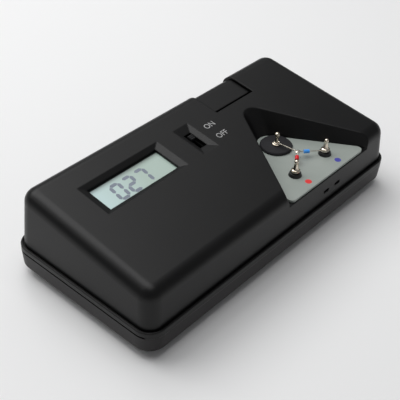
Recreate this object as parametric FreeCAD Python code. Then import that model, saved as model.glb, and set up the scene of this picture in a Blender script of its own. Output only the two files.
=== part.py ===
import FreeCAD
import Part
import math
import os

# Soldering-tip thermometer: a wedge-shaped case with a display, a slide switch and an open sensor bay.
# Millimetres. +X runs from the display end to the sensor end, +Y from the user's side to the back, +Z is up.
# The origin is the middle of the case's outline, on the surface that the feet stand on.

# Case
case_length = 140.0
case_width = 68.0
corner_radius = 6.8
least_corner_radius = 0.6
wall = 2.0
foot_height = 3.5
foot_radius = 4.0
foot_spigot_length = 1.2
foot_edge = 0.5
tray_height = 6.8
tray_setback = 0.35
tray_floor = 2.0
tray_edge_radius = 1.2
lip_height = 2.7
lip_reach = 1.3
lip_edge_radius = 0.45
groove_width = 0.55
groove_depth = 0.7
seam_relief_height = 0.7
seam_relief_depth = 1.0
tongue_height = 2.0
tongue_wall = 1.2
wall_draft = 0.063
face_height = 29.2
face_slope = 0.133
edge_radius = 5.0
fit_gap = 0.2
cut_margin = 3.0

# Case screws, driven from below inside the feet's holes
case_screw_inset_x = 8.0
case_screw_inset_y = 8.5
case_screw_radius = 1.4
case_screw_head_radius = 2.6
case_screw_head_height = 1.8
case_screw_length = 12.0
screw_hole_gap = 0.25
boss_radius = 3.8
post_radius = 3.2
boss_meet_height = 3.0
counterbore_depth = 4.2

# Display
display_left_inset = 37.35
display_v = 10.45
display_bevel_length = 39.3
display_bevel_width = 16.1
display_bevel_x = 2.8
display_bevel_v = 2.05
display_bevel_depth = 1.0
glass_thickness = 1.1
glass_margin_x = 2.0
glass_margin_v = 2.8
contact_ledge = 2.2
frame_wall = 1.5
connector_width = 1.6

# Circuit board, parallel to the face
board_depth = 7.0
board_thickness = 1.6
board_left_inset = 10.0
board_right_x = 5.5
board_front_v = -20.0
board_back_v = 23.5
board_corner_radius = 3.5
board_screw_inset = 3.6
board_screw_radius = 1.0
board_screw_head_radius = 1.9
board_screw_head_height = 1.3
board_screw_length = 6.0
board_post_radius = 2.4
chip_size = 12.0
chip_height = 2.2
chip_chamfer = 0.4
chip_inset_x = 24.0
chip_v = -11.0
chip_lead_count = 11
chip_lead_pitch = 0.8
chip_lead_width = 0.4
chip_lead_reach = 1.3
chip_lead_thickness = 0.3
trimmer_size = 6.5
trimmer_height = 3.4
trimmer_screw_radius = 1.2
trimmer_screw_height = 0.5
trimmer_inset_x = 48.0
trimmer_v = -12.5
capacitor_radius = 2.0
capacitor_height = 3.9
capacitor_chamfer = 0.4
capacitor_pitch = 5.4
capacitor_count = 3
capacitor_inset_x = 11.5
capacitor_v = -16.0
resistor_length = 3.2
resistor_width = 1.6
resistor_height = 0.7
resistor_pitch = 3.0
resistor_count = 5
resistor_inset_x = 36.0
resistor_v = -16.5

# Power switch
switch_x = -0.2
switch_v = 10.55
switch_bevel_length = 16.3
switch_bevel_width = 8.05
switch_bevel_v = 3.85
switch_bevel_x = 2.3
switch_bevel_depth = 1.0
switch_travel = 4.0
switch_gap = 0.3
knob_length = 2.4
knob_width = 2.2
knob_top_depth = 0.8
knob_rib_height = 0.25
knob_rib_count = 3
knob_stem_width = 1.6
knob_base_height = 1.0
knob_base_overlap = 0.7
switch_body_margin = 1.9
switch_body_wall = 0.8
switch_body_drop = 0.5
switch_pin_count = 3
switch_pin_pitch = 4.0
switch_pin_width = 0.8
switch_pin_reach = 1.2

# Sensor bay
bay_length_share = 29.0 / 140.0
bay_apex_y = 6.95
bay_half_angle = 33.0
bay_radius = 5.5
bay_lean = 0.40
bay_wall = 1.8
bay_edge_radius = 0.4
plate_height = 20.45
plate_thickness = 1.0
plate_gap = 0.3
plate_front_gap = 0.3
plate_corner_radius = 2.0
bay_floor = 1.6

# Terminals and sensor
terminal_front_inset = 11.4
terminal_spread = 19.14
sliding_terminal_y = -6.1
bush_radius = 2.6
bush_top_radius = 2.2
bush_height = 1.2
bush_spigot_radius = 1.8
stud_radius = 0.9
ring_room = 0.75
collar_radius = 1.75
collar_top_radius = 1.2
collar_top = 2.9
collar_edge = 0.3
stem_radius = 0.95
neck_radius = 0.8
neck_blend = 0.2
ball_radius = 0.9
ball_steps = 8
post_top = 6.95
nut_width = 4.0
nut_height = 1.4
tag_thickness = 0.4
tag_radius = 2.0
tag_tail_length = 3.2
tag_tail_width = 1.4
stud_overhang = 0.3
disc_radius = 6.5
disc_thickness = 0.9
disc_edge = 0.4
sliding_collar_radius = 1.7
sliding_collar_height = 0.6
sliding_stem_radius = 0.65
sliding_ball_radius = 1.1
sliding_post_top = 6.6
ring_wire_radius = 0.25
ring_play = 0.15
ring_sides = 8
bead_reach = 6.3
bead_rise = 2.6
bead_radius = 0.9
bead_height = 1.0
lead_radius = 0.2
stay_radius = 0.28
sleeve_radius = 0.75
sleeve_length = 2.1
sleeve_distance = 3.7
sleeve_gap = 0.03
weld_gap = 0.02

# Sensor release slide
release_travel = 1.3
release_gap = 0.3
release_width = 22.15
release_front_y = 15.6
release_recess = 1.0
release_wall = 1.6
release_skirt_z = 24.0
release_edge_gap = 0.4
web_y = 20.0
web_thickness = 2.4
web_width = 12.0
foot_width = 6.0
foot_thickness = 2.4
foot_nose = 4.0
slide_gap = 0.2
guide_wall = 1.8
guide_front_y = -3.2
guide_back_y = 1.2
spring_z = 27.8
spring_seat_y = 11.5
spring_seat_radius = 3.4
spring_radius = 2.4
spring_wire_radius = 0.3
spring_turns = 5
spring_end_gap = 0.05
spring_peg_radius = 1.7
spring_peg_length = 2.0

# Probe socket in the front wall
socket_shift = 1.9
socket_pitch = 7.05
socket_z = 17.4
socket_slot_width = 3.2
socket_slot_height = 1.2
socket_margin = 2.4
socket_cover = 1.0
socket_depth = 10.5
socket_contact_thickness = 0.4

# Battery, its compartment and door
battery_length = 48.5
battery_width = 26.5
battery_height = 17.5
battery_edge_radius = 2.0
battery_left_inset = 14.5
battery_back_inset = 5.0
battery_gap = 0.5
battery_rest_gap = 0.2
stud_pitch = 12.7
plus_stud_radius = 2.9
minus_stud_radius = 4.0
stud_length = 2.6
snap_thickness = 4.2
snap_height = 12.5
snap_stud_gap = 0.15
snap_clearance = 0.2
compartment_rib = 1.4
compartment_rib_height = 9.0
hinge_room = 5.0
door_gap = 0.3
door_tongue_length = 2.4
door_tongue_thickness = 1.2
door_tongue_width = 6.0
door_tongue_gap = 0.2
door_tongue_inset = 3.0
door_grip_count = 4
door_grip_pitch = 2.0
door_grip_width = 0.9
door_grip_depth = 0.5
door_grip_length = 14.0
door_grip_inset = 4.0
battery_lead_radius = 0.6
battery_lead_pitch = 5.0
battery_lead_shift = -4.0
terminal_lead_radius = 0.55
terminal_lead_bend = 3.5
terminal_lead_reach = 5.8
terminal_lead_pitch = 2.5
terminal_lead_overlap = 0.9
terminal_lead_gap = 0.05

# Heights and faces that follow from the sizes above
seam_z = foot_height + tray_height
lip_top_z = seam_z + lip_height
face_z = foot_height + face_height
face_angle = math.degrees(math.atan(face_slope))
floor_top_z = foot_height + tray_floor
plate_top_z = foot_height + plate_height
plate_seat_z = plate_top_z - plate_thickness
bay_floor_z = plate_seat_z - bay_floor
half_angle = math.radians(bay_half_angle)
case_left_x = -case_length / 2
case_front_y = -case_width / 2
bay_x = bay_length_share * case_length
socket_x = bay_x + socket_shift
display_x = case_left_x + display_left_inset
board_left_x = case_left_x + board_left_inset
chip_x = board_left_x + chip_inset_x
trimmer_x = board_left_x + trimmer_inset_x
capacitor_x = board_left_x + capacitor_inset_x
resistor_x = board_left_x + resistor_inset_x
window_length = display_bevel_length - 2 * display_bevel_x
window_width = display_bevel_width - 2 * display_bevel_v
glass_length = window_length + 2 * glass_margin_x
glass_width = window_width + 2 * glass_margin_v
slot_length = switch_bevel_length - 2 * switch_bevel_v
slot_width = switch_bevel_width - 2 * switch_bevel_x
switch_top_depth = wall + switch_body_drop
terminal_y = case_front_y + terminal_front_inset
bead_y = terminal_y + bead_reach
terminal_lead_y = terminal_y + terminal_lead_reach
red_x = bay_x - terminal_spread / 2
blue_x = bay_x + terminal_spread / 2
disc_top_z = plate_top_z + fit_gap + disc_thickness
foot_top_z = bay_floor_z - slide_gap
foot_bottom_z = foot_top_z - foot_thickness
battery_left_x = case_left_x + battery_left_inset
battery_right_x = battery_left_x + battery_length
battery_back_y = -case_front_y - battery_back_inset
battery_front_y = battery_back_y - battery_width
battery_middle_y = battery_front_y + battery_width / 2
battery_bottom_z = floor_top_z + battery_rest_gap
battery_middle_z = battery_bottom_z + battery_height / 2
snap_left_x = battery_right_x + snap_clearance
snap_right_x = snap_left_x + snap_thickness
door_left_x = battery_left_x - battery_gap
door_right_x = snap_right_x + hinge_room
door_front_y = battery_front_y - battery_gap
door_back_y = battery_back_y + battery_gap


def point(x, y, z):
    return FreeCAD.Vector(x, y, z)


def block(x0, x1, y0, y1, z0, z1):
    return Part.makeBox(x1 - x0, y1 - y0, z1 - z0, point(x0, y0, z0))


def rod(radius, start, end):
    axis = end - start
    return Part.makeCylinder(radius, axis.Length, start, axis)


def turned(profile, x, y, z):
    """Turn a closed profile of (radius, height) points about a vertical axis that stands at x, y, z."""
    corners = [point(radius, 0, height) for radius, height in profile]
    face = Part.Face(Part.makePolygon(corners + corners[:1]))
    solid = face.revolve(point(0, 0, 0), point(0, 0, 1), 360)
    solid.translate(point(x, y, z))
    return solid


def rounded_outline(half_length, half_width, radius, z):
    """A rectangle with round corners, centred on the vertical axis at height z."""
    inner_x = half_length - radius
    inner_y = half_width - radius
    up = point(0, 0, 1)
    edges = []
    for turn, (x, y) in enumerate([(1, 1), (-1, 1), (-1, -1), (1, -1)]):
        centre = point(x * inner_x, y * inner_y, z)
        edges.append(Part.makeCircle(radius, centre, up, 90 * turn, 90 * turn + 90))
    sides = []
    for first, second in zip(edges, edges[1:] + edges[:1]):
        sides.append(Part.makeLine(first.Vertexes[-1].Point, second.Vertexes[0].Point))
    ordered = [edge for pair in zip(edges, sides) for edge in pair]
    return Part.Wire(ordered)


def rounded_block(x0, x1, y0, y1, z0, z1, radius):
    """An upright block with round corners in plan."""
    outline = rounded_outline((x1 - x0) / 2, (y1 - y0) / 2, radius, z0)
    solid = Part.Face(outline).extrude(point(0, 0, z1 - z0))
    solid.translate(point((x0 + x1) / 2, (y0 + y1) / 2, 0))
    return solid


def drafted_block(low_sizes, low_z, high_sizes, high_z, radius):
    """A block with flat sloping sides between two half-sizes (x, y), its upright corners rounded."""
    solid = Part.makeWedge(-low_sizes[0], low_z, -low_sizes[1], -high_sizes[1], -high_sizes[0],
                           low_sizes[0], high_z, low_sizes[1], high_sizes[1], high_sizes[0])
    solid.rotate(point(0, 0, 0), point(1, 0, 0), 90)
    corners = []
    for edge in solid.Edges:
        if abs(edge.Vertexes[0].Point.z - edge.Vertexes[1].Point.z) > (high_z - low_z) / 2:
            corners.append(edge)
    return solid.makeFillet(radius, corners)


def on_face(shape):
    """Carry a shape from face coordinates (x, v up the slope, w out of the face) to the case."""
    placed = shape.copy()
    placed.rotate(point(0, 0, 0), point(1, 0, 0), face_angle)
    placed.translate(point(0, 0, face_z))
    return placed


def fuse(shapes):
    return shapes[0].multiFuse(shapes[1:]).removeSplitter()


def hexagon_nut(x, y, z, bore):
    corners = []
    for turn in range(7):
        angle = math.radians(60 * turn)
        reach = nut_width / math.sqrt(3)
        corners.append(point(x + reach * math.cos(angle), y + reach * math.sin(angle), z))
    nut = Part.Face(Part.makePolygon(corners)).extrude(point(0, 0, nut_height))
    return nut.cut(rod(bore, point(x, y, z), point(x, y, z + nut_height)))


def wire_ring(x, y, z, centre_radius):
    """A closed loop of wire, its section a regular polygon, lying flat about x, y, z."""
    profile = []
    for step in range(ring_sides):
        angle = 2 * math.pi * (step + 0.5) / ring_sides
        out = centre_radius + ring_wire_radius * math.cos(angle)
        profile.append((out, ring_wire_radius * math.sin(angle)))
    return turned(profile, x, y, z)


def bent_wire(points, bend, radius):
    """A round wire along straight runs with one tangent arc at each inner point."""
    edges = []
    start = points[0]
    for before, corner, after in zip(points, points[1:], points[2:]):
        back = (before - corner).normalize()
        ahead = (after - corner).normalize()
        half = back.getAngle(ahead) / 2
        tangent = bend / math.tan(half)
        middle = (back + ahead).normalize()
        enter = corner + back * tangent
        leave = corner + ahead * tangent
        top = corner + middle * (bend / math.sin(half) - bend)
        edges.append(Part.LineSegment(start, enter).toShape())
        edges.append(Part.Arc(enter, top, leave).toShape())
        start = leave
    edges.append(Part.LineSegment(start, points[-1]).toShape())
    section = Part.Wire(Part.makeCircle(radius, points[0], points[1] - points[0]))
    return Part.Wire(edges).makePipeShell([section], True, False)


def case_screw_places():
    reach_x = case_length / 2 - case_screw_inset_x
    reach_y = case_width / 2 - case_screw_inset_y
    return [(x * reach_x, y * reach_y) for x in (-1, 1) for y in (-1, 1)]


def board_screw_places():
    xs = (board_left_x + board_screw_inset, board_right_x - board_screw_inset)
    vs = (board_front_v + board_screw_inset, board_back_v - board_screw_inset)
    return [(x, v) for x in xs for v in vs]


def height_over_face(place):
    """How far a place lies above the sloping face."""
    angle = math.radians(face_angle)
    return (place.z - face_z) * math.cos(angle) - place.y * math.sin(angle)


def shell_sizes(inset, z):
    """Half the drafted wall's length and width at height z, moved inwards by inset."""
    shrink = lip_reach + inset + wall_draft * (z - lip_top_z)
    return case_length / 2 - shrink, case_width / 2 - shrink


def shell_corner(inset):
    return max(corner_radius - lip_reach - inset, least_corner_radius)


def shell_body(inset, low_z):
    """The wedge of the upper case, moved inwards by inset: drafted walls, sloping face and rounded rim."""
    high_z = face_z + face_slope * case_width / 2 + cut_margin
    body = drafted_block(shell_sizes(inset, low_z), low_z, shell_sizes(inset, high_z), high_z,
                         shell_corner(inset))
    above = on_face(block(-case_length, case_length, -case_width, case_width, -inset, case_width))
    body = body.cut(above)
    rim = []
    for edge in body.Edges:
        heights = [height_over_face(vertex.Point) + inset for vertex in edge.Vertexes]
        if max(abs(height) for height in heights) < 1e-4:
            rim.append(edge)
    radius = min(edge_radius, corner_radius - lip_reach - 0.3) - inset
    return body.makeFillet(max(radius, 0.3), rim)


def bay_outline(z, offset, level):
    """The bay's rounded triangle, open past the front wall; it leans outwards with level over the plate."""
    grown = offset + bay_lean * level
    apex_y = bay_apex_y + grown / math.sin(half_angle)
    radius = bay_radius + offset
    centre = point(bay_x, apex_y - radius / math.sin(half_angle), z)
    turn = math.pi / 2 - half_angle
    side_x = radius * math.sin(turn)
    side_y = centre.y + radius * math.cos(turn)
    front_y = -case_width
    front_x = side_x + (side_y - front_y) * math.tan(half_angle)
    left = point(bay_x - side_x, side_y, z)
    right = point(bay_x + side_x, side_y, z)
    front_left = point(bay_x - front_x, front_y, z)
    front_right = point(bay_x + front_x, front_y, z)
    top = centre + point(0, radius, 0)
    edges = [
        Part.makeLine(front_left, left),
        Part.Arc(left, top, right).toShape(),
        Part.makeLine(right, front_right),
        Part.makeLine(front_right, front_left),
    ]
    return Part.Wire(edges)


def bay_space(offset, low_z):
    """The bay with upright sides up to the plate and leaning sides above it, grown by offset."""
    high_z = face_z + face_slope * case_width / 2 + cut_margin
    level = high_z - plate_top_z
    leaning = Part.makeLoft(
        [bay_outline(plate_top_z, offset, 0), bay_outline(high_z, offset, level)], True, True)
    upright = Part.Face(bay_outline(low_z, offset, 0)).extrude(point(0, 0, plate_top_z - low_z))
    return fuse([upright, leaning])


def bevelled_opening(centre_x, centre_v, length, width, bevel_x, bevel_v, depth):
    """A bevelled recess in the face and the straight opening below it, in face coordinates."""
    outlines = []
    for level in (1.0, -1.0):
        half_x = length / 2 + bevel_x * level if level > 0 else length / 2 - bevel_x
        half_v = width / 2 + bevel_v * level if level > 0 else width / 2 - bevel_v
        corners = [(-1, -1), (1, -1), (1, 1), (-1, 1), (-1, -1)]
        w = depth * level
        outlines.append(Part.makePolygon(
            [point(centre_x + x * half_x, centre_v + v * half_v, w) for x, v in corners]))
    bevel = Part.makeLoft(outlines, True, True)
    straight = block(
        centre_x - length / 2 + bevel_x, centre_x + length / 2 - bevel_x,
        centre_v - width / 2 + bevel_v, centre_v + width / 2 - bevel_v, -wall - cut_margin, 0)
    return bevel.fuse(straight)


def release_opening(gap):
    """The notch over the top back edge that the release pad sits in, shrunk by gap at its sides."""
    half = release_width / 2 - gap
    return block(bay_x - half, bay_x + half, release_front_y, case_width,
                 release_skirt_z - release_edge_gap, face_z + case_width)


def socket_slots(front_y, back_y, grow):
    slots = []
    for side in (-0.5, 0.5):
        x = socket_x + side * socket_pitch
        half_x = socket_slot_width / 2 + grow
        half_z = socket_slot_height / 2 + grow
        slots.append(block(x - half_x, x + half_x, front_y, back_y, socket_z - half_z, socket_z + half_z))
    return slots


def front_wall_y(inset, z):
    return -(case_width / 2 - lip_reach - inset - wall_draft * (z - lip_top_z))


def terminal_slot(z0, z1, radius):
    """The slot that the sliding terminal's stud travels in."""
    x = bay_x
    back_y = sliding_terminal_y
    front_y = sliding_terminal_y - release_travel
    ends = [rod(radius, point(x, y, z0), point(x, y, z1)) for y in (front_y, back_y)]
    return fuse(ends + [block(x - radius, x + radius, front_y, back_y, z0, z1)])


def upper_housing():
    outer = shell_body(0, seam_z)
    shell = outer.cut(shell_body(wall, seam_z - cut_margin))
    lip = Part.Face(rounded_outline(case_length / 2, case_width / 2, corner_radius, seam_z))
    lip = lip.extrude(point(0, 0, lip_height))
    rim = [edge for edge in lip.Edges if min(v.Point.z for v in edge.Vertexes) > lip_top_z - 1e-4]
    lip = lip.makeFillet(lip_edge_radius, rim)
    groove_half_x = case_length / 2 - lip_reach + groove_width
    groove_half_y = case_width / 2 - lip_reach + groove_width
    groove = Part.Face(rounded_outline(
        groove_half_x, groove_half_y, corner_radius - lip_reach + groove_width, lip_top_z - groove_depth))
    lip = lip.cut(groove.extrude(point(0, 0, lip_height)))
    hole_x, hole_y = shell_sizes(wall / 2, seam_z)
    hole = Part.Face(rounded_outline(hole_x, hole_y, shell_corner(wall / 2), seam_z))
    lip = lip.cut(hole.extrude(point(0, 0, lip_height)))
    taper = tray_setback * tongue_height / tray_height
    tongue_x = case_length / 2 - wall - taper - fit_gap
    tongue_y = case_width / 2 - wall - taper - fit_gap
    tongue_radius = corner_radius - wall - fit_gap
    tongue = Part.Face(rounded_outline(tongue_x, tongue_y, tongue_radius, seam_z - tongue_height))
    tongue = tongue.extrude(point(0, 0, tongue_height + lip_height / 2))
    hollow = Part.Face(rounded_outline(
        tongue_x - tongue_wall, tongue_y - tongue_wall, tongue_radius - tongue_wall,
        seam_z - tongue_height - cut_margin))
    tongue = tongue.cut(hollow.extrude(point(0, 0, tongue_height + lip_height + 2 * cut_margin)))
    tub = bay_space(bay_wall, bay_floor_z).common(outer)
    seat = rod(spring_seat_radius, point(bay_x, sliding_terminal_y, spring_z),
               point(bay_x, spring_seat_y, spring_z))
    peg = rod(spring_peg_radius, point(bay_x, sliding_terminal_y, spring_z),
              point(bay_x, spring_seat_y + spring_peg_length, spring_z))
    posts = []
    for x, y in case_screw_places():
        posts.append(rod(post_radius, point(x, y, seam_z + boss_meet_height), point(x, y, face_z * 2)))
    for x, v in board_screw_places():
        posts.append(on_face(rod(board_post_radius, point(x, v, -board_depth), point(x, v, 0))))
    posts = [post.common(outer) for post in posts]
    housing = shell.multiFuse([lip, tongue, tub, seat, peg] + posts)
    housing = housing.cut(bay_space(0, plate_seat_z))
    mouth = []
    for edge in housing.Edges:
        ends = [vertex.Point for vertex in edge.Vertexes]
        on_top = max(abs(height_over_face(end)) for end in ends) < 1e-4
        if on_top and max(abs(end.x - bay_x) for end in ends) < 2 * bay_radius:
            mouth.append(edge)
    housing = housing.makeFillet(bay_edge_radius, mouth)
    display = bevelled_opening(display_x, display_v, display_bevel_length, display_bevel_width,
                               display_bevel_x, display_bevel_v, display_bevel_depth)
    switch = bevelled_opening(switch_x, switch_v, switch_bevel_width, switch_bevel_length,
                              switch_bevel_x, switch_bevel_v, switch_bevel_depth)
    relief = block(2 * case_left_x, case_left_x + seam_relief_depth, -case_width, case_width,
                   seam_z - fit_gap, seam_z + seam_relief_height)
    cuts = [on_face(display), on_face(switch), release_opening(0), relief]
    cuts += socket_slots(-case_width, front_wall_y(wall, socket_z) + fit_gap, 0)
    for x, y in case_screw_places():
        hole_z = seam_z + boss_meet_height
        reach = foot_height + counterbore_depth + case_screw_length - hole_z
        cuts.append(rod(case_screw_radius, point(x, y, hole_z - fit_gap), point(x, y, hole_z + reach)))
    for x, v in board_screw_places():
        depth = board_depth + board_thickness - board_screw_length
        hole = rod(board_screw_radius, point(x, v, -board_depth - fit_gap), point(x, v, -depth))
        cuts.append(on_face(hole))
    for x in (red_x, blue_x):
        cuts.append(rod(bush_spigot_radius, point(x, terminal_y, bay_floor_z - fit_gap),
                        point(x, terminal_y, plate_top_z)))
    cuts.append(terminal_slot(bay_floor_z - fit_gap, plate_top_z, stud_radius + release_gap))
    return housing.cut(cuts)


def tray_block(inset, low_z, high_z):
    """The tapered tray between two heights, moved inwards by inset."""
    low_shrink = inset + tray_setback * (seam_z - low_z) / tray_height
    high_shrink = inset + tray_setback * (seam_z - high_z) / tray_height
    return drafted_block((case_length / 2 - low_shrink, case_width / 2 - low_shrink), low_z,
                         (case_length / 2 - high_shrink, case_width / 2 - high_shrink), high_z,
                         max(corner_radius - inset, least_corner_radius))


def lower_cover():
    tray = tray_block(0, foot_height, seam_z)
    sole = [edge for edge in tray.Edges if max(v.Point.z for v in edge.Vertexes) < foot_height + 1e-4]
    tray = tray.makeFillet(tray_edge_radius, sole)
    tray = tray.cut(tray_block(wall, floor_top_z, seam_z + cut_margin))
    additions = []
    for x, y in case_screw_places():
        additions.append(rod(boss_radius, point(x, y, foot_height + tray_edge_radius),
                             point(x, y, seam_z + boss_meet_height)))
    rib_top = floor_top_z + compartment_rib_height
    rib_front = door_front_y - compartment_rib
    additions.append(block(door_left_x, battery_right_x, rib_front, door_front_y, foot_height + 1, rib_top))
    additions.append(block(door_left_x - compartment_rib, door_left_x, rib_front, battery_middle_y,
                           foot_height + 1, rib_top))
    tray = fuse([tray] + additions)
    cuts = [block(door_left_x, door_right_x, door_front_y, door_back_y, 0, floor_top_z + fit_gap)]
    for x, y in case_screw_places():
        cuts.append(rod(case_screw_radius + screw_hole_gap, point(x, y, 0), point(x, y, seam_z * 2)))
        cuts.append(rod(case_screw_head_radius + screw_hole_gap, point(x, y, 0),
                        point(x, y, foot_height + counterbore_depth)))
    return tray.cut(cuts)


def rubber_feet():
    feet = []
    for x, y in case_screw_places():
        spigot = case_screw_head_radius + screw_hole_gap
        profile = [(0, 0), (foot_radius - foot_edge, 0), (foot_radius, foot_edge), (foot_radius, foot_height),
                   (spigot, foot_height), (spigot, foot_height + foot_spigot_length),
                   (0, foot_height + foot_spigot_length)]
        feet.append(turned(profile, x, y, 0))
    return Part.makeCompound(feet)


def case_screws():
    screws = []
    head_z = foot_height + counterbore_depth
    for x, y in case_screw_places():
        profile = [(0, -case_screw_head_height), (case_screw_head_radius * 0.6, -case_screw_head_height),
                   (case_screw_head_radius, -case_screw_head_height * 0.5), (case_screw_head_radius, 0),
                   (case_screw_radius, 0), (case_screw_radius, case_screw_length - case_screw_radius),
                   (0, case_screw_length)]
        screws.append(turned(profile, x, y, head_z))
    return Part.makeCompound(screws)


def battery_door():
    left = door_left_x + door_gap
    right = door_right_x - door_gap
    front = door_front_y + door_gap
    back = door_back_y - door_gap
    door = block(left, right, front, back, foot_height, floor_top_z)
    tongue_low = floor_top_z + door_tongue_gap
    pieces = [door]
    for y in (front + door_tongue_inset, back - door_tongue_inset - door_tongue_width):
        root = block(right - door_tongue_thickness, right, y, y + door_tongue_width,
                     floor_top_z, tongue_low + door_tongue_thickness)
        hook = block(right, right + door_gap + door_tongue_length, y, y + door_tongue_width,
                     tongue_low, tongue_low + door_tongue_thickness)
        pieces += [root, hook]
    door = fuse(pieces)
    grips = []
    for turn in range(door_grip_count):
        x = left + door_grip_inset + door_grip_pitch * turn
        grips.append(block(x, x + door_grip_width, battery_middle_y - door_grip_length / 2,
                           battery_middle_y + door_grip_length / 2, foot_height - 1,
                           foot_height + door_grip_depth))
    return door.cut(grips)


def lcd_front_glass():
    return on_face(block(display_x - glass_length / 2, display_x + glass_length / 2,
                         display_v - glass_width / 2, display_v + glass_width / 2,
                         -wall - glass_thickness, -wall))


def lcd_back_glass():
    half = glass_width / 2 - contact_ledge
    return on_face(block(display_x - glass_length / 2, display_x + glass_length / 2,
                         display_v - half, display_v + half,
                         -wall - 2 * glass_thickness, -wall - glass_thickness))


def lcd_connectors():
    strips = []
    for side in (-1, 1):
        middle = display_v + side * (glass_width / 2 - contact_ledge / 2)
        strips.append(on_face(block(
            display_x - window_length / 2, display_x + window_length / 2,
            middle - connector_width / 2, middle + connector_width / 2,
            -board_depth, -wall - glass_thickness)))
    return Part.makeCompound(strips)


def lcd_frame():
    inner_x = glass_length / 2 + fit_gap
    inner_v = glass_width / 2 + fit_gap
    outer = block(display_x - inner_x - frame_wall, display_x + inner_x + frame_wall,
                  display_v - inner_v - frame_wall, display_v + inner_v + frame_wall, -board_depth, -wall)
    well = block(display_x - inner_x, display_x + inner_x, display_v - inner_v, display_v + inner_v,
                 -wall - 2 * glass_thickness, 0)
    frame = outer.cut(well)
    half_x = window_length / 2 + fit_gap
    for side in (-1, 1):
        middle = display_v + side * (glass_width / 2 - contact_ledge / 2)
        half_v = connector_width / 2 + fit_gap
        frame = frame.cut(block(display_x - half_x, display_x + half_x,
                                middle - half_v, middle + half_v, -board_depth - 1, 0))
    half_v = glass_width / 2 - contact_ledge - 1
    frame = frame.cut(block(display_x - half_x, display_x + half_x, display_v - half_v, display_v + half_v,
                            -board_depth - 1, 0))
    return on_face(frame)


def switch_pin_places():
    middle = (switch_pin_count - 1) / 2
    return [switch_v + (turn - middle) * switch_pin_pitch for turn in range(switch_pin_count)]


def battery_room():
    return block(door_left_x, snap_right_x, door_front_y, door_back_y,
                 battery_bottom_z, battery_bottom_z + battery_height + battery_gap)


def circuit_board():
    board = rounded_block(board_left_x, board_right_x, board_front_v, board_back_v,
                          -board_depth - board_thickness, -board_depth, board_corner_radius)
    low = -board_depth - board_thickness - 1
    holes = []
    for x, v in board_screw_places():
        holes.append(rod(board_screw_radius + screw_hole_gap, point(x, v, low), point(x, v, 0)))
    for v in switch_pin_places():
        half = switch_pin_width / 2 + fit_gap
        holes.append(block(switch_x - half, switch_x + half, v - half, v + half, low, 0))
    return on_face(board.cut(holes)).cut(battery_room())


def board_screws():
    screws = []
    for x, v in board_screw_places():
        profile = [(0, -board_screw_head_height), (board_screw_head_radius * 0.6, -board_screw_head_height),
                   (board_screw_head_radius, -board_screw_head_height * 0.4), (board_screw_head_radius, 0),
                   (board_screw_radius, 0), (board_screw_radius, board_screw_length - board_screw_radius),
                   (0, board_screw_length)]
        screws.append(on_face(turned(profile, x, v, -board_depth - board_thickness)))
    return Part.makeCompound(screws)


def converter_chip():
    half = chip_size / 2
    body = block(chip_x - half, chip_x + half, chip_v - half, chip_v + half,
                 -board_depth + chip_lead_thickness, -board_depth + chip_lead_thickness + chip_height)
    rim = [edge for edge in body.Edges if min(v.Point.z for v in edge.Vertexes) > -board_depth + chip_height]
    return on_face(body.makeChamfer(chip_chamfer, rim))


def chip_leads():
    leads = []
    middle = (chip_lead_count - 1) / 2
    for turn in range(4):
        for step in range(chip_lead_count):
            across = (step - middle) * chip_lead_pitch
            foot = block(chip_size / 2 - chip_lead_reach, chip_size / 2 + chip_lead_reach,
                         across - chip_lead_width / 2, across + chip_lead_width / 2,
                         -board_depth, -board_depth + chip_lead_thickness)
            foot.rotate(point(0, 0, 0), point(0, 0, 1), 90 * turn)
            foot.translate(point(chip_x, chip_v, 0))
            leads.append(on_face(foot))
    return Part.makeCompound(leads)


def trimmer():
    half = trimmer_size / 2
    top = -board_depth + trimmer_height
    body = block(trimmer_x - half, trimmer_x + half, trimmer_v - half, trimmer_v + half, -board_depth, top)
    screw = rod(trimmer_screw_radius, point(trimmer_x, trimmer_v, top),
                point(trimmer_x, trimmer_v, top + trimmer_screw_height))
    return on_face(body.fuse(screw))


def capacitors():
    cans = []
    for turn in range(capacitor_count):
        v = capacitor_v + capacitor_pitch * turn
        can = rod(capacitor_radius, point(capacitor_x, v, -board_depth),
                  point(capacitor_x, v, -board_depth + capacitor_height))
        rim = [edge for edge in can.Edges if edge.Vertexes[0].Point.z > -board_depth + 1 and edge.Closed]
        cans.append(on_face(can.makeChamfer(capacitor_chamfer, rim)))
    return Part.makeCompound(cans)


def resistors():
    chips = []
    for turn in range(resistor_count):
        v = resistor_v + resistor_pitch * turn
        chips.append(on_face(block(resistor_x - resistor_length / 2, resistor_x + resistor_length / 2,
                                   v - resistor_width / 2, v + resistor_width / 2,
                                   -board_depth, -board_depth + resistor_height)))
    return Part.makeCompound(chips)


def switch_body():
    half_x = slot_width / 2 + switch_body_margin
    half_v = slot_length / 2 + switch_body_margin
    top = -switch_top_depth
    body = block(switch_x - half_x, switch_x + half_x, switch_v - half_v, switch_v + half_v,
                 -board_depth, top)
    room = block(switch_x - half_x + switch_body_wall, switch_x + half_x - switch_body_wall,
                 switch_v - half_v + switch_body_wall, switch_v + half_v - switch_body_wall,
                 -board_depth + switch_body_wall, top - switch_body_wall)
    stem_x = knob_stem_width / 2 + switch_gap
    stem_v = (knob_stem_width + switch_travel) / 2 + switch_gap
    slot = block(switch_x - stem_x, switch_x + stem_x, switch_v - stem_v, switch_v + stem_v, top - wall, top)
    return on_face(body.cut([room, slot]))


def switch_contacts():
    pins = []
    for v in switch_pin_places():
        half = switch_pin_width / 2
        pins.append(on_face(block(switch_x - half, switch_x + half, v - half, v + half,
                                  -board_depth - board_thickness - switch_pin_reach, -board_depth)))
    return Part.makeCompound(pins)


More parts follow.
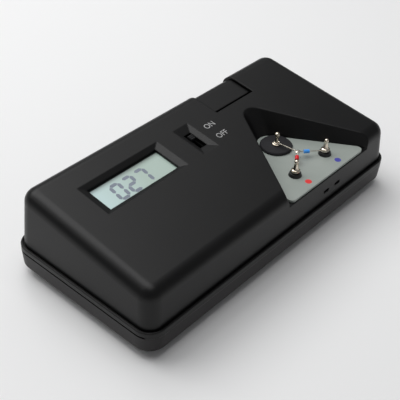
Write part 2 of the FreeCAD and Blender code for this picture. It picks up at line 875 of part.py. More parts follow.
def switch_knob():
    """The knob stands at the back end of its slot, where the instrument is on."""
    v = switch_v + switch_travel / 2
    under = -switch_top_depth + switch_gap
    cap = block(switch_x - knob_width / 2, switch_x + knob_width / 2,
                v - knob_length / 2, v + knob_length / 2, under, -knob_top_depth)
    ribs = []
    pitch = knob_length / knob_rib_count
    for turn in range(knob_rib_count):
        rib_v = v + (turn - (knob_rib_count - 1) / 2) * pitch
        ribs.append(block(switch_x - knob_width / 2, switch_x + knob_width / 2,
                          rib_v - pitch / 4, rib_v + pitch / 4,
                          -knob_top_depth, -knob_top_depth + knob_rib_height))
    half = knob_stem_width / 2
    base_top = -switch_top_depth - switch_body_wall - switch_gap
    base_half = half + knob_base_overlap
    stem = block(switch_x - half, switch_x + half, v - half, v + half, base_top, under)
    base = block(switch_x - base_half, switch_x + base_half, v - base_half, v + base_half,
                 base_top - knob_base_height, base_top)
    return on_face(fuse([cap, stem, base] + ribs))


def sensor_plate():
    outline = Part.Face(bay_outline(plate_seat_z, -plate_gap, 0))
    plate = outline.extrude(point(0, 0, plate_thickness))
    front_y = front_wall_y(plate_front_gap, plate_top_z)
    plate = plate.common(block(-case_length, case_length, front_y, case_width, 0, face_z * 2))
    corners = []
    for edge in plate.Edges:
        ends = [vertex.Point for vertex in edge.Vertexes]
        upright = abs(ends[0].z - ends[-1].z) > plate_thickness / 2
        if upright and max(end.y for end in ends) < front_y + 1e-4:
            corners.append(edge)
    plate = plate.makeFillet(plate_corner_radius, corners)
    holes = [rod(bush_spigot_radius, point(x, terminal_y, 0), point(x, terminal_y, face_z))
             for x in (red_x, blue_x)]
    holes.append(terminal_slot(0, face_z, stud_radius + release_gap))
    return plate.cut(holes)


def terminal_bush(x):
    depth = plate_thickness + bay_floor
    profile = [(stud_radius, -depth), (bush_spigot_radius, -depth), (bush_spigot_radius, 0),
               (bush_radius, 0), (bush_top_radius, bush_height), (stud_radius, bush_height)]
    return turned(profile, x, terminal_y, plate_top_z)


def ball_profile(radius, top, start_radius):
    """Points of a ball head that tops a stem, from the neck to the pole."""
    centre = top - radius
    first = -math.acos(start_radius / radius)
    points = []
    for step in range(ball_steps + 1):
        angle = first + (math.pi / 2 - first) * step / ball_steps
        points.append((max(radius * math.cos(angle), 0), centre + radius * math.sin(angle)))
    points[-1] = (0, top)
    return points


def terminal_post(x):
    """Stud, the neck that the sensor's ring lies round, a flared collar, a tapering stem and a ball head."""
    depth = plate_thickness + bay_floor + tag_thickness + nut_height + stud_overhang
    collar_low = bush_height + ring_room
    neck_height = post_top - ball_radius - math.sqrt(ball_radius ** 2 - neck_radius ** 2)
    profile = [(0, -depth), (stud_radius, -depth), (stud_radius, collar_low), (collar_radius, collar_low),
               (collar_radius, collar_low + collar_edge), (collar_top_radius, collar_top),
               (stem_radius, collar_top), (neck_radius, neck_height - neck_blend)]
    profile += ball_profile(ball_radius, post_top, neck_radius)
    return turned(profile, x, terminal_y, plate_top_z)


def solder_tags():
    tags = []
    for x in (red_x, blue_x):
        low = bay_floor_z - tag_thickness
        ring = rod(tag_radius, point(x, terminal_y, low), point(x, terminal_y, bay_floor_z))
        tail = block(x - tag_radius - tag_tail_length, x, terminal_y - tag_tail_width / 2,
                     terminal_y + tag_tail_width / 2, low, bay_floor_z)
        bore = rod(stud_radius, point(x, terminal_y, low - 1), point(x, terminal_y, bay_floor_z + 1))
        tags.append(fuse([ring, tail]).cut(bore))
    return Part.makeCompound(tags)


def terminal_nuts():
    z = bay_floor_z - tag_thickness - nut_height
    return Part.makeCompound([hexagon_nut(x, terminal_y, z, stud_radius) for x in (red_x, blue_x)])


def sliding_terminal_post():
    low = foot_bottom_z - nut_height - stud_overhang - disc_top_z
    top = plate_top_z + sliding_post_top - disc_top_z
    profile = [(0, low), (stud_radius, low), (stud_radius, 0), (sliding_collar_radius, 0),
               (sliding_collar_radius, sliding_collar_height), (sliding_stem_radius, sliding_collar_height)]
    profile += ball_profile(sliding_ball_radius, top, sliding_stem_radius)
    return turned(profile, bay_x, sliding_terminal_y, disc_top_z)


def sliding_terminal_disc():
    profile = [(stud_radius, 0), (disc_radius, 0), (disc_radius, disc_thickness * 0.5),
               (disc_radius - disc_edge, disc_thickness), (stud_radius, disc_thickness)]
    return turned(profile, bay_x, sliding_terminal_y, plate_top_z + fit_gap)


def sliding_terminal_nut():
    return hexagon_nut(bay_x, sliding_terminal_y, foot_bottom_z - nut_height, stud_radius)


def release_slide():
    """Thumb pad over the case's back edge, a web down behind the bay and a foot under the bay's floor."""
    low_z = seam_z + boss_meet_height
    pad = shell_body(release_recess, low_z).cut(shell_body(release_recess + release_wall, low_z - 1))
    half = release_width / 2 - release_gap
    front_y = release_front_y + release_travel + release_gap
    pad = pad.common(block(bay_x - half, bay_x + half, front_y, case_width, release_skirt_z, face_z * 2))
    web = block(bay_x - web_width / 2, bay_x + web_width / 2, web_y, web_y + web_thickness,
                foot_bottom_z, face_z * 2)
    web = web.common(shell_body(release_recess + release_wall / 2, low_z))
    nose_y = sliding_terminal_y - foot_nose
    foot = block(bay_x - foot_width / 2, bay_x + foot_width / 2, nose_y, web_y + web_thickness,
                 foot_bottom_z, foot_top_z)
    peg = rod(spring_peg_radius, point(bay_x, web_y - spring_peg_length, spring_z),
              point(bay_x, web_y + web_thickness, spring_z))
    slide = fuse([pad, web, foot, peg])
    return slide.cut(rod(stud_radius, point(bay_x, sliding_terminal_y, 0),
                         point(bay_x, sliding_terminal_y, face_z)))


def slide_guide():
    """A channel under the bay's floor that keeps the slide's foot straight."""
    half = foot_width / 2 + release_gap
    low = foot_bottom_z - slide_gap - guide_wall
    channel = block(bay_x - half - guide_wall, bay_x + half + guide_wall, guide_front_y, guide_back_y,
                    low, bay_floor_z)
    return channel.cut(block(bay_x - half, bay_x + half, guide_front_y - 1, guide_back_y + 1,
                             low + guide_wall, bay_floor_z + 1))


def release_spring():
    start_y = spring_seat_y + spring_wire_radius + spring_end_gap
    length = web_y - spring_seat_y - 2 * (spring_wire_radius + spring_end_gap)
    helix = Part.makeHelix(length / spring_turns, length, spring_radius)
    half = spring_wire_radius
    corners = [(-half, -half), (half, -half), (half, half), (-half, half), (-half, -half)]
    section = Part.makePolygon([point(spring_radius + x, 0, z) for x, z in corners])
    coil = Part.Wire(helix).makePipeShell([section], True, True)
    coil.rotate(point(0, 0, 0), point(1, 0, 0), -90)
    coil.translate(point(bay_x, start_y, spring_z))
    return coil


def ring_centre(x, y, z):
    """A sensor ring lies round its terminal, pulled towards the bead until it almost bears on it."""
    pull = point(bay_x - x, bead_y - y, 0).normalize() * (ring_play * 0.9)
    return point(x, y, z) + pull


def fixed_ring_centre(x):
    return ring_centre(x, terminal_y, plate_top_z + bush_height + ring_room / 2)


def stay_ring_centre():
    return ring_centre(bay_x, sliding_terminal_y, disc_top_z + sliding_collar_height + ring_wire_radius)


def ring_radius(stem):
    return stem + ring_play + ring_wire_radius


def fixed_ring(x):
    centre = fixed_ring_centre(x)
    return wire_ring(centre.x, centre.y, centre.z, ring_radius(stud_radius))


def stay_ring():
    centre = stay_ring_centre()
    return wire_ring(centre.x, centre.y, centre.z, ring_radius(sliding_stem_radius))


def bead_centre():
    return point(bay_x, bead_y, plate_top_z + bead_rise)


def sensor_bead():
    half = bead_height / 2
    profile = [(0, -half), (bead_radius * 0.7, -half), (bead_radius, -half * 0.4), (bead_radius, half * 0.4),
               (bead_radius * 0.7, half), (0, half)]
    centre = bead_centre()
    return turned(profile, centre.x, centre.y, centre.z)


def wire_ends(ring, stem):
    """Where a sensor wire leaves the bead and where it meets its ring."""
    along = (ring - bead_centre()).normalize()
    start = bead_centre() + along * (bead_radius + weld_gap)
    end = ring - along * (ring_radius(stem) + ring_wire_radius + weld_gap)
    return start, end


def thermocouple_lead(x):
    start, end = wire_ends(fixed_ring_centre(x), stud_radius)
    return rod(lead_radius, start, end)


def lead_sleeve(x):
    start, end = wire_ends(fixed_ring_centre(x), stud_radius)
    along = (end - start).normalize()
    middle = bead_centre() + along * sleeve_distance
    low = middle - along * (sleeve_length / 2)
    high = middle + along * (sleeve_length / 2)
    return rod(sleeve_radius, low, high).cut(rod(lead_radius + sleeve_gap, low, high))


def sensor_stay_wire():
    start, end = wire_ends(stay_ring_centre(), sliding_stem_radius)
    return rod(stay_radius, start, end)


def probe_socket():
    half_x = (socket_pitch + socket_slot_width) / 2 + socket_margin
    half_z = socket_slot_height / 2 + socket_cover
    front_y = front_wall_y(wall, socket_z) + fit_gap
    body = block(socket_x - half_x, socket_x + half_x, front_y, front_y + socket_depth,
                 socket_z - half_z, socket_z + half_z)
    return body.cut(socket_slots(front_y - 1, front_y + socket_depth - socket_margin, 0))


def probe_contacts():
    """One spring strip along the floor of each socket slot, held in the moulded body."""
    contacts = []
    front_y = front_wall_y(wall, socket_z) + fit_gap
    for side in (-0.5, 0.5):
        x = socket_x + side * socket_pitch
        half = socket_slot_width / 2 - fit_gap
        low = socket_z - socket_slot_height / 2
        contacts.append(block(x - half, x + half, front_y + socket_margin,
                              front_y + socket_depth - socket_margin, low, low + socket_contact_thickness))
    return Part.makeCompound(contacts)


def battery():
    body = block(battery_left_x, battery_right_x, battery_front_y, battery_back_y,
                 battery_bottom_z, battery_bottom_z + battery_height)
    long_edges = []
    for edge in body.Edges:
        ends = [vertex.Point for vertex in edge.Vertexes]
        if abs(ends[0].x - ends[1].x) > battery_length / 2:
            long_edges.append(edge)
    return body.makeFillet(battery_edge_radius, long_edges)


def stud_places():
    return [(battery_middle_y - stud_pitch / 2, plus_stud_radius),
            (battery_middle_y + stud_pitch / 2, minus_stud_radius)]


def battery_studs():
    studs = []
    for y, radius in stud_places():
        studs.append(rod(radius, point(battery_right_x, y, battery_middle_z),
                         point(battery_right_x + stud_length, y, battery_middle_z)))
    return Part.makeCompound(studs)


def battery_snap():
    half = snap_height / 2
    cap = block(snap_left_x, snap_right_x, battery_front_y, battery_back_y,
                battery_middle_z - half, battery_middle_z + half)
    ends = [edge for edge in cap.Edges if abs(edge.Vertexes[0].Point.x - edge.Vertexes[1].Point.x) > 1]
    cap = cap.makeFillet(half * 0.8, ends)
    for y, radius in stud_places():
        cap = cap.cut(rod(radius + snap_stud_gap, point(snap_left_x - 1, y, battery_middle_z),
                          point(battery_right_x + stud_length + fit_gap, y, battery_middle_z)))
    return cap


def board_underside_z(y):
    across = (board_depth + board_thickness) / math.cos(math.radians(face_angle))
    return face_z + face_slope * y - across


def battery_lead(side):
    """A short lead from the snap's upper edge to the underside of the board."""
    x = (snap_left_x + snap_right_x) / 2
    y = battery_middle_y + battery_lead_shift + side * battery_lead_pitch / 2
    top = board_underside_z(y - battery_lead_radius)
    return rod(battery_lead_radius, point(x, y, battery_middle_z + snap_height / 2), point(x, y, top))


def terminal_lead(x, shift):
    """A lead from a terminal's solder tag, back past the nuts and across to the circuit board's underside."""
    z = bay_floor_z - tag_thickness - terminal_lead_radius
    tail_x = x - tag_radius - tag_tail_length + terminal_lead_radius
    run_y = terminal_lead_y + shift
    end_z = board_underside_z(run_y - terminal_lead_radius) - terminal_lead_radius - terminal_lead_gap
    tub_x = bay_x - (bay_apex_y + bay_wall / math.sin(half_angle) - run_y) * math.tan(half_angle)
    return bent_wire([point(tail_x, terminal_y - tag_tail_width / 2, z), point(tail_x, run_y, z),
                      point(tub_x - 2 * terminal_lead_radius, run_y, z),
                      point(board_right_x - terminal_lead_overlap, run_y, end_z)],
                     terminal_lead_bend, terminal_lead_radius)


PARTS = {
    "upper_housing": upper_housing(),
    "lower_cover": lower_cover(),
    "rubber_feet": rubber_feet(),
    "case_screws": case_screws(),
    "battery_door": battery_door(),
    "lcd_front_glass": lcd_front_glass(),
    "lcd_back_glass": lcd_back_glass(),
    "lcd_connectors": lcd_connectors(),
    "lcd_frame": lcd_frame(),
    "circuit_board": circuit_board(),
    "board_screws": board_screws(),
    "converter_chip": converter_chip(),
    "chip_leads": chip_leads(),
    "trimmer": trimmer(),
    "capacitors": capacitors(),
    "resistors": resistors(),
    "switch_body": switch_body(),
    "switch_contacts": switch_contacts(),
    "switch_knob": switch_knob(),
    "sensor_plate": sensor_plate(),
    "red_terminal_bush": terminal_bush(red_x),
    "blue_terminal_bush": terminal_bush(blue_x),
    "red_terminal_post": terminal_post(red_x),
    "blue_terminal_post": terminal_post(blue_x),
    "solder_tags": solder_tags(),
    "terminal_nuts": terminal_nuts(),
    "release_slide": release_slide(),
    "slide_guide": slide_guide(),
    "release_spring": release_spring(),
    "sliding_terminal_post": sliding_terminal_post(),
    "sliding_terminal_disc": sliding_terminal_disc(),
    "sliding_terminal_nut": sliding_terminal_nut(),
    "sensor_bead": sensor_bead(),
    "sensor_stay_wire": sensor_stay_wire(),
    "sensor_stay_ring": stay_ring(),
    "red_lead": thermocouple_lead(red_x),
    "blue_lead": thermocouple_lead(blue_x),
    "red_ring": fixed_ring(red_x),
    "blue_ring": fixed_ring(blue_x),
    "red_sleeve": lead_sleeve(red_x),
    "blue_sleeve": lead_sleeve(blue_x),
    "probe_socket": probe_socket(),
    "probe_contacts": probe_contacts(),
    "battery": battery(),
    "battery_studs": battery_studs(),
    "battery_snap": battery_snap(),
    "red_battery_lead": battery_lead(-1),
    "black_battery_lead": battery_lead(1),
    "red_terminal_lead": terminal_lead(red_x, 0),
    "blue_terminal_lead": terminal_lead(blue_x, terminal_lead_pitch),
}

os.makedirs("parts", exist_ok=True)
for name, shape in PARTS.items():
    shape.exportStep("parts/" + name + ".step")
    print(name, len(shape.Solids), round(shape.Volume, 2), shape.isValid())
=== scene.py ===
import math

import bmesh
import bpy
import numpy as np
from mathutils import Matrix, Vector


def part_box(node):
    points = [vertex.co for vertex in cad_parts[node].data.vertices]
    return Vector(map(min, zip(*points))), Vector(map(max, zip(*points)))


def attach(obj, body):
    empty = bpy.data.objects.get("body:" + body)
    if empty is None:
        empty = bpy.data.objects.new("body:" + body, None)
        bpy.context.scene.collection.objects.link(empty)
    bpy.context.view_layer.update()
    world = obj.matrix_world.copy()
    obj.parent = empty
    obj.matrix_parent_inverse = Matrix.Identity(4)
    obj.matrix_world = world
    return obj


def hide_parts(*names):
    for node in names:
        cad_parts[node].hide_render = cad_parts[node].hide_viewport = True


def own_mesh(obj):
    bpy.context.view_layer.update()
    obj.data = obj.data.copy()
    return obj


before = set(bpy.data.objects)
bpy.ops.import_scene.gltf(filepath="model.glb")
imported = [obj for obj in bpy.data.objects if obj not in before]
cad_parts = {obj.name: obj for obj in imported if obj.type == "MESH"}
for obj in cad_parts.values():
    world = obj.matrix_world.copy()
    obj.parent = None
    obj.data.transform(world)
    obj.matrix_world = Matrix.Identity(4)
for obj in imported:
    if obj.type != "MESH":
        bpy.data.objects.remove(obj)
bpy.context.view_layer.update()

# Lower cover and battery door: the tapered tray, and the lift-off door in its underside.
# Injection-moulded black ABS with a fine spark-eroded grain, a little browner than the upper half, and
# lighter in part as painted light from the bright floor that its sides face.
# The door hangs by two hooked tongues, and four grooves at its free end give the thumb a hold.
MM = 0.001
# Most values of a noise texture lie between these two, and the grain is a tenth as deep as it is wide.
NOISE_LOW = 0.3
NOISE_HIGH = 0.7
DRIFT_DETAIL = 3.0
GRAIN_DETAIL = 2.0
GRAIN_DEPTH = 0.1
COAT_ROUGHNESS = 0.06
EDGE_SAMPLES = 6


def new_material(name):
    """A material of this name, with its node tree and its principled shader."""
    material = bpy.data.materials.new(name)
    material.use_nodes = True
    return material, material.node_tree, material.node_tree.nodes["Principled BSDF"]


def set_sockets(node, values):
    """Set a shader node's input sockets, by name, to constant values."""
    for socket, value in values.items():
        node.inputs[socket].default_value = value


def add_node(tree, kind, values=None):
    """A new shader node of this kind, with these values on its input sockets."""
    node = tree.nodes.new("ShaderNode" + kind)
    set_sockets(node, values or {})
    return node


def colour_ramp(tree, steps):
    """A ramp that runs straight from each step's colour to the next. A step is its place and its colour."""
    ramp = add_node(tree, "ValToRGB")
    elements = ramp.color_ramp.elements
    for step, (place, colour) in enumerate(steps):
        if step >= len(elements):
            elements.new(place)
        elements[step].position = place
        elements[step].color = (*colour, 1.0)
    return ramp


def grained(name, tones, roughness, grain_mm, bump,
            metallic=0.0, coat=0.0, gloss=0.5, drift_mm=18.0, edge_mm=0.1):
    """A principled material: colour drifts between two tones over drift_mm, a grain of grain_mm sets
    the roughness between its two values and a fine bump, and edges look broken by edge_mm."""
    material, tree, shader = new_material(name)
    set_sockets(shader, {"Metallic": metallic, "Specular IOR Level": gloss,
                         "Coat Weight": coat, "Coat Roughness": COAT_ROUGHNESS})
    place = add_node(tree, "TexCoord")
    drift = add_node(tree, "TexNoise", {"Scale": 1.0 / (drift_mm * MM), "Detail": DRIFT_DETAIL})
    tint = colour_ramp(tree, [(NOISE_LOW, tones[0]), (NOISE_HIGH, tones[1])])
    grain = add_node(tree, "TexNoise", {"Scale": 1.0 / (grain_mm * MM), "Detail": GRAIN_DETAIL})
    spread = add_node(tree, "MapRange", {"From Min": NOISE_LOW, "From Max": NOISE_HIGH,
                                         "To Min": roughness[0], "To Max": roughness[1]})
    relief = add_node(tree, "Bump", {"Strength": bump, "Distance": GRAIN_DEPTH * grain_mm * MM})
    edge = add_node(tree, "Bevel", {"Radius": edge_mm * MM})
    edge.samples = EDGE_SAMPLES
    link = tree.links.new
    link(place.outputs["Object"], drift.inputs["Vector"])
    link(place.outputs["Object"], grain.inputs["Vector"])
    link(drift.outputs["Fac"], tint.inputs["Fac"])
    link(tint.outputs["Color"], shader.inputs["Base Color"])
    link(grain.outputs["Fac"], spread.inputs["Value"])
    link(spread.outputs["Result"], shader.inputs["Roughness"])
    link(grain.outputs["Fac"], relief.inputs["Height"])
    link(edge.outputs["Normal"], relief.inputs["Normal"])
    link(relief.outputs["Normal"], shader.inputs["Normal"])
    return material


def dress(material, *names):
    """Give the CAD nodes of these names one material in all their slots."""
    for name in names:
        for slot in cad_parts[name].material_slots:
            slot.material = material


# The tray's tones sit above the housing's partly as painted light: the glow of the floor on its sides.
tray_plastic_and_painted_light = grained("tray_plastic_and_painted_light", tones=[(0.0105, 0.0090, 0.0093), (0.0130, 0.0112, 0.0116)],
                       roughness=(0.38, 0.46), grain_mm=0.30, bump=0.25, gloss=0.25)
dress(tray_plastic_and_painted_light, "lower_cover", "battery_door")

# Feet and case screws: four moulded rubber buttons pushed into the counterbores of the screw holes.
# The screws are zinc-plated pan heads and are only seen when a foot is pulled out.
foot_rubber = grained("foot_rubber", tones=[(0.010, 0.010, 0.010), (0.016, 0.016, 0.016)],
                      roughness=(0.75, 0.9), grain_mm=0.25, bump=0.4)
dress(foot_rubber, "rubber_feet")
zinc_steel = grained("zinc_steel", tones=[(0.50, 0.50, 0.51), (0.60, 0.60, 0.58)],
                     roughness=(0.28, 0.42), grain_mm=0.12, bump=0.1, metallic=1.0)
dress(zinc_steel, "case_screws")

# Battery, its studs, snap and leads: a plain 9 V block in a dark jacket, seen when the door is open.
# The studs are tinned steel, the snap is moulded PVC and its two leads go up to the board.
battery_jacket = grained("battery_jacket", tones=[(0.020, 0.021, 0.024), (0.030, 0.031, 0.034)],
                         roughness=(0.22, 0.34), grain_mm=0.5, bump=0.05, coat=0.5)
dress(battery_jacket, "battery")
tin = grained("tin", tones=[(0.58, 0.57, 0.55), (0.68, 0.67, 0.66)],
              roughness=(0.25, 0.4), grain_mm=0.15, bump=0.1, metallic=1.0)
dress(tin, "battery_studs")
black_plastic = grained("black_plastic", tones=[(0.010, 0.010, 0.011), (0.015, 0.015, 0.016)],
                        roughness=(0.35, 0.5), grain_mm=0.2, bump=0.15)
dress(black_plastic, "battery_snap", "black_battery_lead")
red_pvc = grained("red_pvc", tones=[(0.70, 0.004, 0.012), (0.80, 0.010, 0.022)],
                  roughness=(0.3, 0.4), grain_mm=0.2, bump=0.1, drift_mm=3.0)
dress(red_pvc, "red_battery_lead")

# Circuit board and its parts: a green glass-epoxy board screwed to four posts under the face.
# A converter chip, a blue trimmer, three cans and a row of chip resistors are soldered to its upper side.
solder_mask = grained("solder_mask", tones=[(0.008, 0.085, 0.032), (0.012, 0.110, 0.045)],
                      roughness=(0.22, 0.34), grain_mm=0.8, bump=0.1, coat=0.3)
dress(solder_mask, "circuit_board")
dress(zinc_steel, "board_screws")
chip_epoxy = grained("chip_epoxy", tones=[(0.012, 0.012, 0.013), (0.018, 0.018, 0.019)],
                     roughness=(0.45, 0.6), grain_mm=0.15, bump=0.2)
dress(chip_epoxy, "converter_chip", "resistors")
dress(tin, "chip_leads", "capacitors")
trimmer_blue = grained("trimmer_blue", tones=[(0.02, 0.07, 0.38), (0.03, 0.09, 0.45)],
                       roughness=(0.3, 0.4), grain_mm=0.3, bump=0.1)
dress(trimmer_blue, "trimmer")

# Display: two glass plates with the liquid crystal between them, in a black frame on the board.
# The front glass is a pale grey-green reflective field, with painted light that makes it lighter towards
# the display end.
# Its three lit figures are grey-blue bars that lean a little, with the fourth place blank.
FACE_Z = 32.7
FACE_SLOPE = 0.133
FACE_ANGLE = math.atan(FACE_SLOPE)
# The glass lies a wall's thickness below the face, and the painted light fades to its second tone at 0.6 of
# its length.
GLASS_TOP_W = -2.0
GLASS_TONES = [(0.545, 0.715, 0.715), (0.425, 0.535, 0.478)]
GLASS_LIGHT_RUN = 0.6
GLASS_COAT = 0.5
GLASS_COAT_ROUGHNESS = 0.05
GLASS_ROUGHNESS = (0.25, 0.4)
HAZE_SCALE = 900.0
# The window's upper edge, and how the light falls off over the last few mm below it: place and level.
WINDOW_TOP_V = 16.45
SHADE_REACH = 3.2
SHADE_STEPS = [(0.0, 1.0), (0.3, 0.88), (0.62, 0.60), (0.77, 0.48), (0.82, 0.02)]


def from_face(points):
    """Carry points from the face's coordinates in mm (x, v up the slope, w out of the face) to metres in
    the frame: v and w are turned about X by the face's angle, and the face's height is added."""
    x, v, w = np.moveaxis(np.asarray(points, float), -1, 0)
    y = v * math.cos(FACE_ANGLE) - w * math.sin(FACE_ANGLE)
    z = FACE_Z + v * math.sin(FACE_ANGLE) + w * math.cos(FACE_ANGLE)
    return np.stack([x, y, z], -1) * MM


glass_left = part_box("lcd_front_glass")[0][0]
glass_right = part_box("lcd_front_glass")[1][0]
window_top = from_face((0.0, WINDOW_TOP_V, GLASS_TOP_W))[1]
lcd_glass, glass_tree, glass_shader = new_material("lcd_glass")
set_sockets(glass_shader, {"Coat Weight": GLASS_COAT, "Coat Roughness": GLASS_COAT_ROUGHNESS})
glass_place = add_node(glass_tree, "TexCoord")
glass_axes = add_node(glass_tree, "SeparateXYZ")
# Painted light: the glass's tone runs from lighter at the display end to darker along X.
glass_light_run = add_node(glass_tree, "MapRange", {
    "From Min": glass_left, "From Max": glass_left + GLASS_LIGHT_RUN * (glass_right - glass_left)})
glass_painted_light = colour_ramp(glass_tree, [(0.0, GLASS_TONES[0]), (1.0, GLASS_TONES[1])])
# The reflecting layer lies deep, so the window's upper edge shades a soft band of it, black at the edge.
glass_depth = add_node(glass_tree, "MapRange", {
    "From Min": window_top - SHADE_REACH * MM, "From Max": window_top})
glass_shade = colour_ramp(glass_tree, [(place, (level, level, level)) for place, level in SHADE_STEPS])
glass_tone = add_node(glass_tree, "VectorMath")
glass_tone.operation = "MULTIPLY"
glass_haze = add_node(glass_tree, "TexNoise", {"Scale": HAZE_SCALE})
glass_rough = add_node(glass_tree, "MapRange", {"To Min": GLASS_ROUGHNESS[0], "To Max": GLASS_ROUGHNESS[1]})
glass_link = glass_tree.links.new
glass_link(glass_place.outputs["Object"], glass_axes.inputs["Vector"])
glass_link(glass_place.outputs["Object"], glass_haze.inputs["Vector"])
glass_link(glass_axes.outputs["X"], glass_light_run.inputs["Value"])
glass_link(glass_light_run.outputs["Result"], glass_painted_light.inputs["Fac"])
glass_link(glass_axes.outputs["Y"], glass_depth.inputs["Value"])
glass_link(glass_depth.outputs["Result"], glass_shade.inputs["Fac"])
glass_link(glass_painted_light.outputs["Color"], glass_tone.inputs[0])
glass_link(glass_shade.outputs["Color"], glass_tone.inputs[1])
glass_link(glass_tone.outputs["Vector"], glass_shader.inputs["Base Color"])
glass_link(glass_haze.outputs["Fac"], glass_rough.inputs["Value"])
glass_link(glass_rough.outputs["Result"], glass_shader.inputs["Roughness"])
dress(lcd_glass, "lcd_front_glass", "lcd_back_glass")
dress(black_plastic, "lcd_frame")
dress(foot_rubber, "lcd_connectors")

DIGIT_LEFT = [-42.1, -36.1, -30.1]
DIGIT_LIT = ["abcdef", "abged", "abc"]
DIGIT_WIDTH = 3.75
DIGIT_LOW = 5.95
DIGIT_HEIGHT = 7.2
DIGIT_LEAN = 0.075
# Where each bar starts and ends on a figure's grid, one step wide and two high.
BAR_ENDS = {"a": ((0, 2), (1, 2)), "b": ((1, 2), (1, 1)), "c": ((1, 1), (1, 0)), "d": ((0, 0), (1, 0)),
            "e": ((0, 1), (0, 0)), "f": ((0, 2), (0, 1)), "g": ((0, 1), (1, 1))}
BAR_HALF = 0.72
BAR_GAP = 0.10
INK_RISE = 0.012
MERGE_REACH = 1e-7
scene = bpy.context.scene


def new_piece(name, points, faces, material, body, flat=False):
    """Put points in metres and index faces into a new piece that rides on a body. A flat piece faces up."""
    corners = np.asarray(points, float).reshape(-1, 3)
    mesh = bpy.data.meshes.new(name)
    mesh.from_pydata(corners.tolist(), [], [[int(corner) for corner in face] for face in faces])
    shape = bmesh.new()
    shape.from_mesh(mesh)
    bmesh.ops.remove_doubles(shape, verts=shape.verts, dist=MERGE_REACH)
    shape.normal_update()
    if flat:
        bmesh.ops.reverse_faces(shape, faces=[face for face in shape.faces if face.normal.z < 0])
    else:
        bmesh.ops.recalc_face_normals(shape, faces=shape.faces)
    shape.to_mesh(mesh)
    shape.free()
    mesh.polygons.foreach_set("use_smooth", np.full(len(mesh.polygons), not flat))
    mesh.materials.append(material)
    mesh.update()
    piece = bpy.data.objects.new(name, mesh)
    scene.collection.objects.link(piece)
    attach(piece, body)
    return piece


def bar_outline(bar, left):
    """Corners of one lit bar on the face: a strip between two points of a figure's grid, with pointed
    ends. A corner moves to the right by the lean for each mm that it lies above the figure's middle."""
    start, end = np.array(BAR_ENDS[bar], float) * (DIGIT_WIDTH, DIGIT_HEIGHT / 2)
    along = (end - start) / np.linalg.norm(end - start)
    near = start + along * BAR_GAP
    far = end - along * BAR_GAP
    shoulder = along * BAR_HALF
    side = np.array((-along[1], along[0])) * BAR_HALF
    outline = np.array([near, near + shoulder + side, far - shoulder + side,
                        far, far - shoulder - side, near + shoulder - side])
    outline[:, 0] += left + DIGIT_LEAN * (outline[:, 1] - DIGIT_HEIGHT / 2)
    outline[:, 1] += DIGIT_LOW
    return outline


bars = np.array([bar_outline(bar, left) for left, lit in zip(DIGIT_LEFT, DIGIT_LIT) for bar in lit])
bar_count, bar_corners = bars.shape[:2]
ink_level = np.full((bar_count, bar_corners, 1), GLASS_TOP_W + INK_RISE)
bar_points = from_face(np.concatenate([bars, ink_level], -1))
bar_faces = np.arange(bar_count * bar_corners).reshape(bar_count, bar_corners)
digit_ink = grained("digit_ink", tones=[(0.185, 0.215, 0.265), (0.225, 0.255, 0.31)],
                    roughness=(0.3, 0.4), grain_mm=0.4, bump=0.02, drift_mm=4.0)
digits = new_piece("display_digits", bar_points, bar_faces, digit_ink, "case", flat=True)

# Upper housing: one black ABS moulding with drafted walls, a sloping face, a rounded rim and the open bay.
# Its grain is as fine as the tray's, on a plastic that is a shade glossier, and blacker than the tray,
# whose lighter tone is partly painted floor light.
# ON and OFF are pad-printed beside the switch in a light grey.
case_plastic = grained("case_plastic", tones=[(0.0028, 0.0028, 0.0029), (0.0040, 0.0040, 0.0041)],
                       roughness=(0.34, 0.42), grain_mm=0.30, bump=0.22, gloss=0.275, edge_mm=0.7)
dress(case_plastic, "upper_housing")

# Each word's left edge, foot and width on the face, in mm.
WORD_PLACES = {"ON": (7.3, 11.35, 4.9), "OFF": (7.1, 4.85, 5.5)}
LETTER_HEIGHT = 2.5
LETTER_RISE = 0.015
letter_ink = grained("letter_ink", tones=[(0.36, 0.36, 0.36), (0.44, 0.44, 0.44)],
                     roughness=(0.5, 0.6), grain_mm=0.15, bump=0.05, drift_mm=2.0)
for word, (left, foot, width) in WORD_PLACES.items():
    # The font's outline of the word, filled, stretched to its width and height and laid on the face.
    curve = bpy.data.curves.new("word", "FONT")
    curve.body = word
    holder = bpy.data.objects.new("word", curve)
    scene.collection.objects.link(holder)
    bpy.context.view_layer.update()
    outline = bpy.data.meshes.new_from_object(holder.evaluated_get(bpy.context.evaluated_depsgraph_get()))
    bpy.data.objects.remove(holder)
    points = np.empty(len(outline.vertices) * 3)
    outline.vertices.foreach_get("co", points)
    points = points.reshape(-1, 3)
    low_corner = points.min(0)
    span = points.max(0) - low_corner
    points[:, 0] = left + (points[:, 0] - low_corner[0]) * width / span[0]
    points[:, 1] = foot + (points[:, 1] - low_corner[1]) * LETTER_HEIGHT / span[1]
    points[:, 2] = LETTER_RISE
    letters = new_piece("letters_" + word.lower(), from_face(points),
                        [polygon.vertices for polygon in outline.polygons], letter_ink, "case", flat=True)

# Power switch: a slide switch soldered to the board, its ribbed knob showing down a bevelled slot.
# The knob is plain black nylon, and the dull phenolic body under it makes the slot look empty.
knob_nylon = grained("knob_nylon", tones=[(0.008, 0.008, 0.009), (0.012, 0.012, 0.013)],
                     roughness=(0.4, 0.5), grain_mm=0.2, bump=0.15, gloss=0.3)
dress(knob_nylon, "switch_knob")
switch_phenolic = grained("switch_phenolic", tones=[(0.0025, 0.0025, 0.0026), (0.0040, 0.0040, 0.0041)],
                          roughness=(0.6, 0.75), grain_mm=0.2, bump=0.2, gloss=0.08)
dress(switch_phenolic, "switch_body")
dress(tin, "switch_contacts")

